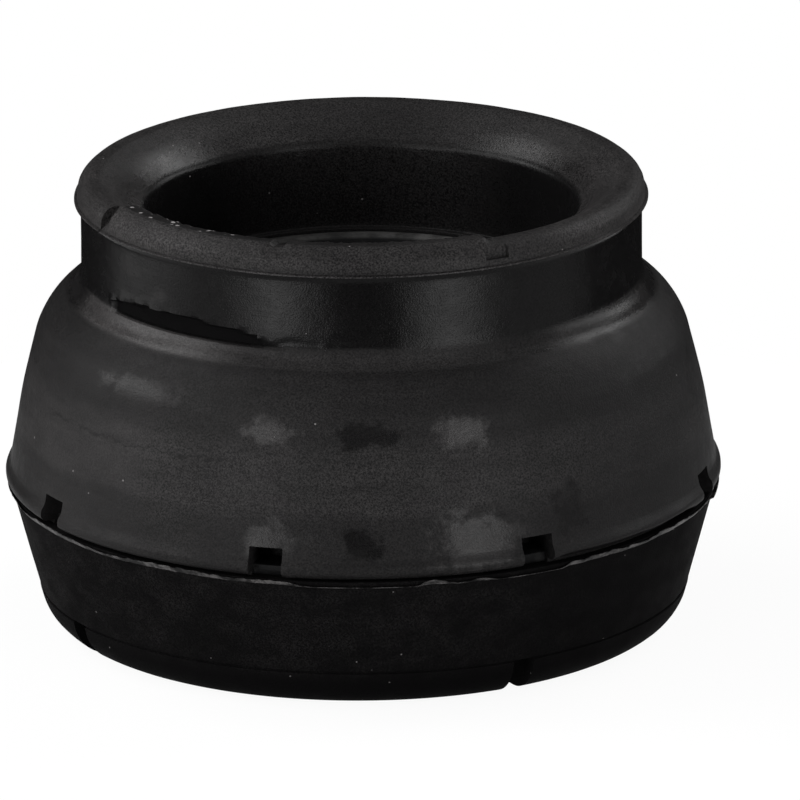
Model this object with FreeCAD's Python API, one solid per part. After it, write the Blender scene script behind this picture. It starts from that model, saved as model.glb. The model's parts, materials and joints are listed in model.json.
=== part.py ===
# Strut mount: a moulded rubber cone bonded onto a drawn sheet-steel insert.
# Frame: millimetres, +Z up along the axis of symmetry, origin on the axis at the bottom face.
# Azimuths are counted from -Y towards +X. One window of the skirt faces -Y.
import FreeCAD, Part
import math
import os

from FreeCAD import Vector

# Bore, neck and shoulder: radii step outward from the bore
BORE_R = 25.3
NECK_WALL = 7.55
SHOULDER_WIDTH = 4.8
UPPER_SKIRT_FLARE = 2.25
LOWER_SKIRT_FLARE = 1.55
LIP_STEP = 0.55
LIP_CHAMFER = 0.5
LIP_HEIGHT = 0.8
LIP_SLOPE_HEIGHT = 0.7

# Base ring under the lip, and the hollow in it that takes the bearing
LIP_OVERHANG = 0.6
BASE_TAPER = 4.5
BASE_WALL = 5.9
BASE_CORNER_RADIUS = 4.9
BAND_LINE_Z = 4.7
BAND_LINE_WIDTH = 0.3
BAND_LINE_DEPTH = 0.25

# Heights step upward from the bottom face
SEAM_BOTTOM_Z = 16.8
SEAM_GAP = 0.5
SEAM_DEPTH = 1.2
LOWER_SKIRT_HEIGHT = 11.5
UPPER_SKIRT_HEIGHT = 9.2
SHOULDER_RISE = 3.45
NECK_HEIGHT = 13.15

# Rounds of the outer form
SKIRT_BEND_RADIUS = 20.0
SHOULDER_RADIUS = 6.8
NECK_FOOT_RADIUS = 2.6

# Rim, with heights counted down from the crest
RIM_BEAD_DROP = 2.8
RIM_BEAD_STEP = 0.5
RIM_BEAD_HEIGHT = 1.1
RIM_SIDE_STEP = 0.2
RIM_SIDE_DROP = 0.7
RIM_SIDE_RADIUS = 2.6
CREST_SETBACK = 1.85
CREST_RADIUS = 1.0
FUNNEL_WIDTH = 2.4
FUNNEL_DROP = 2.05
FUNNEL_RADIUS = 6.0
BORE_EDGE_DROP = 4.1
BORE_EDGE_RADIUS = 0.5

# Part of the rim that stands a little higher, from the gouge round the front to the pocket
PAD_FIRST_AZIMUTH = -46.9
PAD_LAST_AZIMUTH = 42.8
PAD_RISE = 0.25
PAD_TOP_WIDTH = 1.4
PAD_OUTER_STEP = 0.5
PAD_INNER_WIDTH = 1.7
PAD_INNER_DROP = 0.85
PAD_FOOT_WIDTH = 1.5
PAD_FOOT_DROP = 2.25
PAD_DEPTH = 3.5

# Thin skin of rubber that laps onto the steel plate at the bore's foot
SKIN_LAP = 0.7
SKIN_THICKNESS = 0.4

# Windows in the lip, notches under the base, and the gouge and pocket in the rim
WINDOW_COUNT = 8
WINDOW_WIDTH = 4.0
WINDOW_HEIGHT = 3.8
WINDOW_BEHIND_FLANGE = 2.0
NOTCH_COUNT = 4
NOTCH_WIDTH = 2.7
NOTCH_FIRST_AZIMUTH = 45.0
GOUGE_AZIMUTH = -47.7
GOUGE_WIDTH = 2.1
GOUGE_TOP_SETBACK = 2.0
GOUGE_FOOT_DROP = 2.5
POCKET_AZIMUTH = 44.3
POCKET_WIDTH = 3.0
POCKET_DEPTH = 0.5
POCKET_FOOT_DROP = 2.1

# Steel insert: its plate closes the bore and its flange runs out under the skirt
SHEET = 1.2
FLANGE_SETBACK = 2.3
FLOOR_BELOW_NECK_FOOT = 1.55
PLATE_COVER = 2.0
HAT_TAPER = 0.6
PLATE_INNER_BEND = 2.0
FOOT_BEND = 1.0
DISH_INSET = 4.6
DISH_DEPTH = 1.6
DISH_BEND = 2.0
RING_INSET = 2.4
RING_HEIGHT = 0.6
RING_INNER_BEND = 0.1
RING_FOOT_INSET = 1.1
RING_FOOT_BEND = 1.5
ROD_HOLE_R = 7.1

# How far a cutter reaches past the surface that it opens
CUT_REACH = 5.0

# Radii worked out from the sizes above
NECK_R = BORE_R + NECK_WALL
SHOULDER_R = NECK_R + SHOULDER_WIDTH
SKIRT_BEND_R = SHOULDER_R + UPPER_SKIRT_FLARE
SKIRT_FOOT_R = SKIRT_BEND_R + LOWER_SKIRT_FLARE
LIP_R = SKIRT_FOOT_R + LIP_STEP
BASE_TOP_R = LIP_R - LIP_OVERHANG
BASE_BOTTOM_R = BASE_TOP_R - BASE_TAPER
SEAT_R = BASE_BOTTOM_R - BASE_WALL
SEAM_FLOOR_R = BASE_TOP_R - SEAM_DEPTH
FLANGE_R = LIP_R - FLANGE_SETBACK
WINDOW_FLOOR_R = FLANGE_R - WINDOW_BEHIND_FLANGE
CREST_R = NECK_R - CREST_SETBACK
SKIN_R = BORE_R - SKIN_LAP
PLATE_R = BORE_R + PLATE_COVER
HAT_FOOT_R = PLATE_R + HAT_TAPER
DISH_R = BORE_R - DISH_INSET
RING_R = BORE_R - RING_INSET
RING_FOOT_R = BORE_R - RING_FOOT_INSET

# Heights worked out from the sizes above
SEAM_TOP_Z = SEAM_BOTTOM_Z + SEAM_GAP
SKIRT_BEND_Z = SEAM_BOTTOM_Z + LOWER_SKIRT_HEIGHT
SHOULDER_Z = SKIRT_BEND_Z + UPPER_SKIRT_HEIGHT
NECK_FOOT_Z = SHOULDER_Z + SHOULDER_RISE
TOTAL_HEIGHT = NECK_FOOT_Z + NECK_HEIGHT
WINDOW_TOP_Z = SEAM_BOTTOM_Z + WINDOW_HEIGHT
RIM_BEAD_Z = TOTAL_HEIGHT - RIM_BEAD_DROP
FLANGE_BOTTOM_Z = SEAM_BOTTOM_Z
FLANGE_TOP_Z = FLANGE_BOTTOM_Z + SHEET
FLOOR_Z = NECK_FOOT_Z - FLOOR_BELOW_NECK_FOOT

AXIS_POINT = Vector(0, 0, 0)
AXIS = Vector(0, 0, 1)


def rounded_corner(before, corner, after, radius):
    """Start, middle and end of the arc that rounds one corner."""
    to_before = (before - corner).normalize()
    to_after = (after - corner).normalize()
    half_angle = to_before.getAngle(to_after) / 2
    reach = radius / math.tan(half_angle)
    inward = (to_before + to_after).normalize()
    centre = corner + inward * (radius / math.sin(half_angle))
    return corner + to_before * reach, centre - inward * radius, corner + to_after * reach


def path_edges(path):
    """Edges along a path of (r, z) or (r, z, corner radius) points."""
    spots = [Vector(point[0], 0, point[1]) for point in path]
    edges = []
    here = spots[0]
    for index in range(1, len(spots)):
        radius = path[index][2] if len(path[index]) > 2 else 0
        if radius:
            start, middle, end = rounded_corner(spots[index - 1], spots[index], spots[index + 1], radius)
            edges.append(Part.LineSegment(here, start).toShape())
            edges.append(Part.Arc(start, middle, end).toShape())
            here = end
        else:
            edges.append(Part.LineSegment(here, spots[index]).toShape())
            here = spots[index]
    return edges


def revolved(outline):
    """Solid of revolution of a closed outline, whose last point is its first."""
    face = Part.Face(Part.Wire(path_edges(outline)))
    return face.revolve(AXIS_POINT, AXIS, 360)


def offset_below(path, distance):
    """The same path moved to its right by a distance, with its bends following."""
    ways = []
    for start, end in zip(path, path[1:]):
        length = math.hypot(end[0] - start[0], end[1] - start[1])
        ways.append(((end[0] - start[0]) / length, (end[1] - start[1]) / length))
    moved = []
    for index, point in enumerate(path):
        before = ways[max(index - 1, 0)]
        after = ways[min(index, len(ways) - 1)]
        share = distance / (1 + before[0] * after[0] + before[1] * after[1])
        r = point[0] + (before[1] + after[1]) * share
        z = point[1] - (before[0] + after[0]) * share
        radius = point[2] if len(point) > 2 else 0
        if radius:
            left_turn = before[0] * after[1] - before[1] * after[0] > 0
            radius += distance if left_turn else -distance
        moved.append((r, z, radius))
    return moved


def hat_shoulder():
    """Upper side of the insert from the edge of its plate to the rim of its flange."""
    return [
        (PLATE_R, FLOOR_Z, PLATE_INNER_BEND + SHEET),
        (HAT_FOOT_R, FLANGE_TOP_Z, FOOT_BEND),
        (FLANGE_R, FLANGE_TOP_Z),
    ]


def radial_cutter(azimuth, width, inner_r, outer_r, bottom_z, top_z):
    """Box that reaches outward at one azimuth."""
    corner = Vector(-width / 2, -outer_r, bottom_z)
    cutter = Part.makeBox(width, outer_r - inner_r, top_z - bottom_z, corner)
    cutter.rotate(AXIS_POINT, AXIS, azimuth)
    return cutter


def turned_slope_cutter(azimuth, width, top, foot):
    """Prism that clears what lies outside a sloped line, at one azimuth."""
    far_r = foot[0] + CUT_REACH
    far_z = top[1] + CUT_REACH
    points = [top, foot, (far_r, foot[1]), (far_r, far_z), (top[0], far_z), top]
    outline = Part.makePolygon([Vector(r, -width / 2, z) for r, z in points])
    cutter = Part.Face(outline).extrude(Vector(0, width, 0))
    cutter.rotate(AXIS_POINT, AXIS, azimuth - 90)
    return cutter


def make_rim_pad():
    """Low pad along the front of the rim, whose underside lies inside the rubber."""
    top_z = TOTAL_HEIGHT + PAD_RISE
    outer_r = CREST_R + PAD_OUTER_STEP
    inner_r = outer_r - PAD_TOP_WIDTH
    mid_r = inner_r - PAD_INNER_WIDTH
    foot_r = mid_r - PAD_FOOT_WIDTH
    outline = [
        (foot_r, TOTAL_HEIGHT - PAD_DEPTH),
        (foot_r, TOTAL_HEIGHT - PAD_FOOT_DROP, 0.3),
        (mid_r, top_z - PAD_INNER_DROP, 1.2),
        (inner_r, top_z, 1.5),
        (outer_r, top_z, 0.8),
        (outer_r + 1.0, TOTAL_HEIGHT - PAD_OUTER_STEP),
        (outer_r + 0.6, TOTAL_HEIGHT - PAD_DEPTH / 2),
        (foot_r + 2.0, TOTAL_HEIGHT - PAD_DEPTH),
        (foot_r, TOTAL_HEIGHT - PAD_DEPTH),
    ]
    face = Part.Face(Part.Wire(path_edges(outline)))
    face.rotate(AXIS_POINT, AXIS, PAD_FIRST_AZIMUTH - 90)
    return face.revolve(AXIS_POINT, AXIS, PAD_LAST_AZIMUTH - PAD_FIRST_AZIMUTH)


def make_steel_insert():
    """Drawn hat: dished plate with a raised ring and a rod hole, a wall and a flange."""
    upper = [
        (ROD_HOLE_R, FLOOR_Z - DISH_DEPTH),
        (DISH_R, FLOOR_Z - DISH_DEPTH, DISH_BEND),
        (RING_R, FLOOR_Z + RING_HEIGHT, RING_INNER_BEND + SHEET),
        (RING_FOOT_R, FLOOR_Z, RING_FOOT_BEND),
    ] + hat_shoulder()
    lower = offset_below(upper, SHEET)
    return revolved(upper + lower[::-1] + upper[:1])


def make_rubber_blank():
    """Turned form of the rubber, before its windows, notches and marks."""
    bore_edge_z = TOTAL_HEIGHT - BORE_EDGE_DROP
    lip_bottom_r = LIP_R - LIP_CHAMFER
    lip_side_z = SEAM_TOP_Z + LIP_CHAMFER
    lip_top_z = lip_side_z + LIP_HEIGHT
    outline = [
        (SEAT_R, 0),
        (BASE_BOTTOM_R, 0, BASE_CORNER_RADIUS),
        (BASE_TOP_R, SEAM_BOTTOM_Z),
        (SEAM_FLOOR_R, SEAM_BOTTOM_Z),
        (SEAM_FLOOR_R, SEAM_TOP_Z),
        (lip_bottom_r, SEAM_TOP_Z),
        (LIP_R, lip_side_z),
        (LIP_R, lip_top_z),
        (SKIRT_FOOT_R, lip_top_z + LIP_SLOPE_HEIGHT),
        (SKIRT_BEND_R, SKIRT_BEND_Z, SKIRT_BEND_RADIUS),
        (SHOULDER_R, SHOULDER_Z, SHOULDER_RADIUS),
        (NECK_R, NECK_FOOT_Z, NECK_FOOT_RADIUS),
        (NECK_R, RIM_BEAD_Z - RIM_BEAD_HEIGHT),
        (NECK_R + RIM_BEAD_STEP, RIM_BEAD_Z),
        (NECK_R + RIM_SIDE_STEP, TOTAL_HEIGHT - RIM_SIDE_DROP, RIM_SIDE_RADIUS),
        (CREST_R, TOTAL_HEIGHT, CREST_RADIUS),
        (BORE_R + FUNNEL_WIDTH, TOTAL_HEIGHT - FUNNEL_DROP, FUNNEL_RADIUS),
        (BORE_R, bore_edge_z, BORE_EDGE_RADIUS),
        (BORE_R, FLOOR_Z + SKIN_THICKNESS),
        (SKIN_R, FLOOR_Z + SKIN_THICKNESS),
        (SKIN_R, FLOOR_Z),
    ] + hat_shoulder() + [
        (FLANGE_R, FLANGE_BOTTOM_Z),
        (SEAT_R, FLANGE_BOTTOM_Z),
        (SEAT_R, 0),
    ]
    return revolved(outline)


def make_band_line():
    """Fine groove round the base, above the corner radius."""
    slope = BASE_TAPER / SEAM_BOTTOM_Z
    surface_r = BASE_BOTTOM_R + BAND_LINE_Z * slope
    bottom_z = BAND_LINE_Z - BAND_LINE_WIDTH / 2
    outer = Part.makeCylinder(surface_r + CUT_REACH, BAND_LINE_WIDTH, Vector(0, 0, bottom_z))
    inner = Part.makeCylinder(surface_r - BAND_LINE_DEPTH, BAND_LINE_WIDTH, Vector(0, 0, bottom_z))
    return outer.cut(inner)


def make_rubber_body():
    """The one rubber moulding."""
    cutters = [make_band_line()]
    outside = LIP_R + CUT_REACH
    for index in range(WINDOW_COUNT):
        azimuth = index * 360 / WINDOW_COUNT
        cutters.append(
            radial_cutter(azimuth, WINDOW_WIDTH, WINDOW_FLOOR_R, outside, SEAM_BOTTOM_Z, WINDOW_TOP_Z)
        )
    for index in range(NOTCH_COUNT):
        azimuth = NOTCH_FIRST_AZIMUTH + index * 360 / NOTCH_COUNT
        cutters.append(
            radial_cutter(azimuth, NOTCH_WIDTH, SEAT_R - CUT_REACH, outside, -CUT_REACH, BAND_LINE_Z)
        )
    gouge_top = (NECK_R + RIM_SIDE_STEP - GOUGE_TOP_SETBACK, TOTAL_HEIGHT + PAD_RISE)
    gouge_foot = (NECK_R + RIM_SIDE_STEP, TOTAL_HEIGHT - GOUGE_FOOT_DROP)
    cutters.append(turned_slope_cutter(GOUGE_AZIMUTH, GOUGE_WIDTH, gouge_top, gouge_foot))
    cutters.append(
        radial_cutter(
            POCKET_AZIMUTH,
            POCKET_WIDTH,
            NECK_R + RIM_SIDE_STEP - POCKET_DEPTH,
            outside,
            TOTAL_HEIGHT - POCKET_FOOT_DROP,
            TOTAL_HEIGHT + CUT_REACH,
        )
    )
    return make_rubber_blank().fuse(make_rim_pad()).cut(cutters)


def write_part(name, shape):
    """Check one sub-part and write its STEP file."""
    solids = shape.Solids
    if len(solids) != 1 or not solids[0].isValid():
        raise ValueError(name + " is not one valid solid")
    solids[0].exportStep("parts/" + name + ".step")
    print(name, "volume", round(solids[0].Volume, 1), "box", solids[0].BoundBox)


os.makedirs("parts", exist_ok=True)
write_part("rubber_body", make_rubber_body())
write_part("steel_insert", make_steel_insert())
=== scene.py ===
"""Strut mount: a moulded rubber cone on a drawn steel insert, dressed and lit for its picture.

The moulding and the insert are turned from outlines drawn corner by corner. The windows, notches and rim marks
are cut from the moulding, and thin torn flash lies along its seam, as it leaves the mould.
Lengths are in metres, and MM turns millimetres into them. Azimuths are degrees from -Y towards +X.
"""
import json
import math

import bpy
from mathutils import Matrix, Vector, noise


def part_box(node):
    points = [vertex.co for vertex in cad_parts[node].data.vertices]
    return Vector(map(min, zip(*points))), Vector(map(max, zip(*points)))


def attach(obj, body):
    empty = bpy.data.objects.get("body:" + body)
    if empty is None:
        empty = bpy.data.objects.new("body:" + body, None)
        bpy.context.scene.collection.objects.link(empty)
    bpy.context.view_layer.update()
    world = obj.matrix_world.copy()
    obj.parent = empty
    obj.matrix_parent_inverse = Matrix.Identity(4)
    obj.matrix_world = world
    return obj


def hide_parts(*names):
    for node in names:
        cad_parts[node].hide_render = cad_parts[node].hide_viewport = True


bl_info = {
    "name": "Strut mount",
    "version": (1, 0, 0),
    "blender": (4, 5, 0),
    "location": "View3D > Sidebar > Strut mount",
    "description": "Builds a rubber strut mount with its steel insert, its flash and its studio",
    "category": "Object",
}

MM = 0.001
FULL_TURN = 2 * math.pi

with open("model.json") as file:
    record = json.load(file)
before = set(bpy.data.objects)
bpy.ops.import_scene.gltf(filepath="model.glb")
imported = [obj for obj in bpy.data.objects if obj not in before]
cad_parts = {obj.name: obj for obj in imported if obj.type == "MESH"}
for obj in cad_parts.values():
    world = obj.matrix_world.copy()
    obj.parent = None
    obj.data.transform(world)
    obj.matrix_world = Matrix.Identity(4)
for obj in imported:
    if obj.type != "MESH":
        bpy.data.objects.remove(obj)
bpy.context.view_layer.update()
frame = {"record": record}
RUBBER_LOW, RUBBER_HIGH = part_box("rubber_body")
INSERT_LOW, INSERT_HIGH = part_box("steel_insert")
MOUNT_SIZES = {mount["name"]: mount["dims"] for mount in frame["record"]["mounts"]}


def mount_radius(name):
    """Radius of a round mount, in metres."""
    return MOUNT_SIZES[name]["r_mm"] * MM


# Settings that a user would change


class MouldingSettings(bpy.types.PropertyGroup):
    """Sizes of the rubber moulding."""

    height: bpy.props.FloatProperty(
        name="Height", description="From the bottom face to the crest", unit="LENGTH",
        default=RUBBER_HIGH.z - 0.25 * MM,
    )
    pad_rise: bpy.props.FloatProperty(
        name="Pad rise", description="Height of the rim's front pad above the crest", unit="LENGTH",
        default=0.25 * MM,
    )
    bore_radius: bpy.props.FloatProperty(
        name="Bore radius", description="Inside the neck", unit="LENGTH", default=mount_radius("top_cup")
    )
    neck_radius: bpy.props.FloatProperty(
        name="Neck radius", description="Outside the neck", unit="LENGTH", default=mount_radius("tower_seat")
    )
    lip_radius: bpy.props.FloatProperty(
        name="Lip radius", description="Widest part of the skirt", unit="LENGTH", default=42.0 * MM
    )
    seat_radius: bpy.props.FloatProperty(
        name="Bearing radius", description="Hollow under the base", unit="LENGTH",
        default=mount_radius("bearing_recess"),
    )
    seam_height: bpy.props.FloatProperty(
        name="Seam height", description="Top of the base ring", unit="LENGTH", default=16.8 * MM
    )
    unevenness: bpy.props.FloatProperty(
        name="Unevenness", description="Ripple of the moulded surface", unit="LENGTH", default=0.1 * MM
    )
    turn_steps: bpy.props.IntProperty(
        name="Turn steps", description="Faces round the moulding", default=380, min=48, max=720
    )


class InsertSettings(bpy.types.PropertyGroup):
    """Sizes of the steel insert."""

    sheet: bpy.props.FloatProperty(
        name="Sheet", description="Thickness of the steel", unit="LENGTH", default=1.2 * MM
    )
    rod_radius: bpy.props.FloatProperty(
        name="Rod hole radius", description="Hole for the piston rod", unit="LENGTH",
        default=mount_radius("rod_hole"),
    )
    floor_height: bpy.props.FloatProperty(
        name="Floor height", description="Upper side of the plate", unit="LENGTH", default=39.4 * MM
    )


class FinishSettings(bpy.types.PropertyGroup):
    """Colours of the surfaces."""

    rubber_colour: bpy.props.FloatVectorProperty(
        name="Rubber", description="Clean black rubber", subtype="COLOR", default=(0.0022, 0.0021, 0.0022)
    )
    # The bloom colour is also the colour of the painted highlights and painted light on the rubber.
    bloom_colour: bpy.props.FloatVectorProperty(
        name="Bloom", description="Grey bloom on the rubber", subtype="COLOR", default=(0.046, 0.0435, 0.0435)
    )
    dust_colour: bpy.props.FloatVectorProperty(
        name="Dust", description="Pale specks on the rubber", subtype="COLOR", default=(0.22, 0.21, 0.21)
    )
    coat_colour: bpy.props.FloatVectorProperty(
        name="Coat", description="Black coat of the steel", subtype="COLOR", default=(0.004, 0.004, 0.0042)
    )
    worn_colour: bpy.props.FloatVectorProperty(
        name="Worn coat", description="Greyer coat at edges and streaks", subtype="COLOR",
        default=(0.07, 0.069, 0.068),
    )


class StrutMountSettings(bpy.types.PropertyGroup):
    """All the settings of the strut mount."""

    moulding: bpy.props.PointerProperty(type=MouldingSettings)
    insert: bpy.props.PointerProperty(type=InsertSettings)
    finish: bpy.props.PointerProperty(type=FinishSettings)


# Modelling by hand


def deselect_all():
    """Nothing is selected, and Blender is in object mode."""
    if bpy.context.mode != "OBJECT":
        bpy.ops.object.mode_set(mode="OBJECT")
    bpy.ops.object.select_all(action="DESELECT")


def work_on(piece):
    """One piece is selected and active."""
    deselect_all()
    piece.select_set(True)
    bpy.context.view_layer.objects.active = piece


def select_points(piece, test):
    """Edit mode, with the vertices selected whose place passes the test. Says whether there are any."""
    work_on(piece)
    mesh = piece.data
    for part in (mesh.polygons, mesh.edges):
        part.foreach_set("select", [False] * len(part))
    chosen = [test(vertex.co) for vertex in mesh.vertices]
    mesh.vertices.foreach_set("select", chosen)
    bpy.ops.object.mode_set(mode="EDIT")
    bpy.ops.mesh.select_mode(type="VERT")
    return any(chosen)


def draw_outline(name, corners):
    """A closed line in the XZ plane through (r, z, reach of the round) corners, in metres."""
    deselect_all()
    bpy.ops.mesh.primitive_plane_add(size=MM)
    piece = bpy.context.object
    piece.name = name
    bpy.ops.object.mode_set(mode="EDIT")
    bpy.ops.mesh.select_mode(type="VERT")
    bpy.ops.mesh.merge(type="CENTER")
    here = corners[0]
    bpy.ops.transform.translate(value=(here[0], 0, here[1]))
    for corner in corners[1:] + corners[:1]:
        step = (corner[0] - here[0], 0, corner[1] - here[1])
        bpy.ops.mesh.extrude_region_move(TRANSFORM_OT_translate={"value": step})
        here = corner
    bpy.ops.mesh.select_all(action="SELECT")
    bpy.ops.mesh.remove_doubles(threshold=0.001 * MM)
    for corner in corners:
        if len(corner) > 2:
            round_corner(piece, corner)
    return piece


def round_corner(piece, corner, spacing=0.35 * MM):
    """Bevels one corner of an outline into an arc that starts its reach away."""
    place = Vector((corner[0], 0, corner[1]))
    reach = corner[2]
    select_points(piece, lambda spot: (spot - place).length < 0.01 * MM)
    segments = max(3, math.ceil(1.5 * reach / spacing))
    bpy.ops.mesh.bevel(offset_type="OFFSET", offset=reach, segments=segments, affect="VERTICES")
    bpy.ops.object.mode_set(mode="OBJECT")


def refine_outline(piece, longest):
    """Cuts each straight run of an outline into steps no longer than longest(middle of the run)."""
    mesh = piece.data
    cuts_wanted = {}
    for edge in mesh.edges:
        start, end = (mesh.vertices[index].co for index in edge.vertices)
        cuts = math.ceil((end - start).length / longest((start + end) / 2)) - 1
        if cuts > 0:
            cuts_wanted.setdefault(cuts, []).append((start + end) / 2)
    for cuts, middles in cuts_wanted.items():
        for middle in middles:
            select_edge(piece, middle)
            bpy.ops.mesh.subdivide(number_cuts=cuts)
            bpy.ops.object.mode_set(mode="OBJECT")


def select_edge(piece, middle):
    """Edit mode, with the one edge selected whose middle is at a place."""
    select_points(piece, lambda spot: False)
    bpy.ops.object.mode_set(mode="OBJECT")
    mesh = piece.data
    for edge in mesh.edges:
        start, end = (mesh.vertices[index].co for index in edge.vertices)
        if ((start + end) / 2 - middle).length < 0.002 * MM:
            edge.select = True
            mesh.vertices[edge.vertices[0]].select = True
            mesh.vertices[edge.vertices[1]].select = True
    bpy.ops.object.mode_set(mode="EDIT")


def turn(piece, steps):
    """Spins an outline once round Z and closes it."""
    select_points(piece, lambda spot: True)
    bpy.ops.mesh.spin(steps=steps, angle=FULL_TURN, center=(0, 0, 0), axis=(0, 0, 1))
    bpy.ops.mesh.select_all(action="SELECT")
    bpy.ops.mesh.remove_doubles(threshold=0.002 * MM)
    bpy.ops.mesh.normals_make_consistent(inside=False)
    bpy.ops.object.mode_set(mode="OBJECT")


def azimuth_of(spot):
    """Degrees from -Y towards +X."""
    return math.degrees(math.atan2(spot.x, -spot.y))


def radius_of(spot):
    """Distance from the axis."""
    return math.hypot(spot.x, spot.y)


def on_side(azimuth, radius, height):
    """Point at an azimuth in degrees, a radius and a height."""
    angle = math.radians(azimuth)
    return Vector((radius * math.sin(angle), -radius * math.cos(angle), height))


def add_cutter(azimuth, radius, height, size, tilt=0.0):
    """Box of (across, outward, up) size that faces outward, leaning back by a tilt in degrees."""
    deselect_all()
    bpy.ops.mesh.primitive_cube_add(
        size=1, location=on_side(azimuth, radius, height), rotation=(math.radians(tilt), 0, math.radians(azimuth))
    )
    cutter = bpy.context.object
    cutter.scale = size
    bpy.ops.object.transform_apply(location=True, rotation=True, scale=True)
    return cutter


def cut_away(piece, cutters):
    """Cuts the joined cutters out of a piece."""
    work_on(cutters[0])
    for cutter in cutters:
        cutter.select_set(True)
    if len(cutters) > 1:
        bpy.ops.object.join()
    joined = bpy.context.object
    work_on(piece)
    bpy.ops.object.modifier_add(type="BOOLEAN")
    cut = piece.modifiers[-1]
    cut.operation = "DIFFERENCE"
    cut.solver = "EXACT"
    cut.object = joined
    bpy.ops.object.modifier_apply(modifier=cut.name)
    bpy.data.objects.remove(joined)


def weigh(piece, name, rule):
    """Vertex group whose weights, from nought to one, come from a rule on each vertex's place."""
    group = piece.vertex_groups.new(name=name)
    found = 0
    for vertex in piece.data.vertices:
        weight = rule(vertex.co)
        if weight > 0.002:
            group.add([vertex.index], min(weight, 1.0), "REPLACE")
            found += 1
    if not found:
        raise RuntimeError("no part of %s is in %s" % (piece.name, name))
    return group


def push(piece, name, rule, amount, direction="NORMAL"):
    """Moves part of a surface by an amount times its weight, along its normals or an axis."""
    group = weigh(piece, name, rule)
    work_on(piece)
    bpy.ops.object.modifier_add(type="DISPLACE")
    shift = piece.modifiers[-1]
    shift.direction = direction
    shift.mid_level = 0.0
    shift.strength = amount
    shift.vertex_group = group.name
    bpy.ops.object.modifier_apply(modifier=shift.name)


def ramp(value, low, high):
    """Smooth rise from nought at low to one at high."""
    share = min(max((value - low) / (high - low), 0.0), 1.0)
    return share * share * (3 - 2 * share)


def band(value, low, high, soft):
    """One between low and high, with soft ends outside them."""
    return ramp(value, low - soft, low) * (1 - ramp(value, high, high + soft))


def wobble(azimuth, height, width, seed):
    """Even noise between about -1 and 1 whose features are a width wide, in millimetres, round the piece."""
    angle = math.radians(azimuth)
    scale = 36.0 / width
    return noise.noise(Vector((math.sin(angle) * scale, -math.cos(angle) * scale, height / MM / width + seed)))


def ripple(piece, strength, size, group=""):
    """Moves the surface in and out along its normals by a soft cloud pattern."""
    clouds = bpy.data.textures.new(piece.name + "_clouds", type="CLOUDS")
    clouds.noise_scale = size
    clouds.noise_depth = 3
    work_on(piece)
    bpy.ops.object.modifier_add(type="DISPLACE")
    waves = piece.modifiers[-1]
    waves.texture = clouds
    waves.texture_coords = "LOCAL"
    waves.strength = strength
    waves.mid_level = 0.5
    waves.vertex_group = group
    bpy.ops.object.modifier_apply(modifier=waves.name)


def smooth(piece, angle=32):
    """Smooth shading, with edges sharper than an angle in degrees left crisp."""
    work_on(piece)
    bpy.ops.object.shade_smooth_by_angle(angle=math.radians(angle), keep_sharp_edges=True)


def finish_piece(piece, node, material):
    """Gives a piece its material and its body, and hides the CAD node that it stands for, if any."""
    piece.data.materials.clear()
    piece.data.materials.append(material)
    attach(piece, "root")
    if node:
        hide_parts(node)


# Materials


def add_node(tree, kind, **settings):
    """A node, with its own settings."""
    made = tree.nodes.new(kind)
    for name, value in settings.items():
        setattr(made, name, value)
    return made


def feed(tree, target, source):
    """Sets a socket to a number or colour, or links another socket to it."""
    if isinstance(source, bpy.types.NodeSocket):
        tree.links.new(source, target)
    else:
        target.default_value = source


def calc(tree, operation, first, second=0.0, clamp=False):
    """One step of arithmetic."""
    made = add_node(tree, "ShaderNodeMath", operation=operation, use_clamp=clamp)
    feed(tree, made.inputs[0], first)
    feed(tree, made.inputs[1], second)
    return made.outputs[0]


def fade(tree, value, low, high, start=0.0, end=1.0):
    """Smooth change from start to end as a value goes from low to high."""
    made = add_node(tree, "ShaderNodeMapRange", interpolation_type="SMOOTHSTEP")
    for name, number in (("From Min", low), ("From Max", high), ("To Min", start), ("To Max", end)):
        made.inputs[name].default_value = number
    feed(tree, made.inputs["Value"], value)
    return made.outputs["Result"]


def mix_colour(tree, factor, first, second):
    """Colour between two others."""
    made = add_node(tree, "ShaderNodeMix", data_type="RGBA")
    feed(tree, made.inputs[0], factor)
    feed(tree, made.inputs[6], first if isinstance(first, bpy.types.NodeSocket) else (*first, 1.0))
    feed(tree, made.inputs[7], second if isinstance(second, bpy.types.NodeSocket) else (*second, 1.0))
    return made.outputs[2]


def place_socket(tree):
    """Object coordinates."""
    return add_node(tree, "ShaderNodeTexCoord").outputs["Object"]


def stretched(tree, place, scale):
    """Coordinates multiplied along X, Y and Z."""
    made = add_node(tree, "ShaderNodeMapping")
    feed(tree, made.inputs["Vector"], place)
    made.inputs["Scale"].default_value = scale
    return made.outputs["Vector"]


def cloud(tree, place, size, detail=3.0, rough=0.55):
    """Noise whose features are about a size in metres."""
    made = add_node(tree, "ShaderNodeTexNoise")
    feed(tree, made.inputs["Vector"], place)
    made.inputs["Scale"].default_value = 1 / size
    made.inputs["Detail"].default_value = detail
    made.inputs["Roughness"].default_value = rough
    return made.outputs["Fac"]


def round_places(tree, place):
    """Azimuth in degrees from -Y towards +X, and the distance from the axis and the height, in metres."""
    split = add_node(tree, "ShaderNodeSeparateXYZ")
    feed(tree, split.inputs[0], place)
    across, along, height = (split.outputs[name] for name in "XYZ")
    squares = calc(tree, "ADD", calc(tree, "POWER", across, 2.0), calc(tree, "POWER", along, 2.0))
    turned = calc(tree, "ARCTAN2", across, calc(tree, "MULTIPLY", along, -1.0))
    return calc(tree, "MULTIPLY", turned, math.degrees(1)), calc(tree, "SQRT", squares), height


def between(tree, value, low, high, soft):
    """One from low to high, with soft ends outside them."""
    rise = fade(tree, value, low - soft, low)
    return calc(tree, "MULTIPLY", rise, fade(tree, value, high, high + soft, 1.0, 0.0))


def both(tree, first, second):
    """Share that two masks have in common."""
    return calc(tree, "MULTIPLY", first, second)


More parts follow.
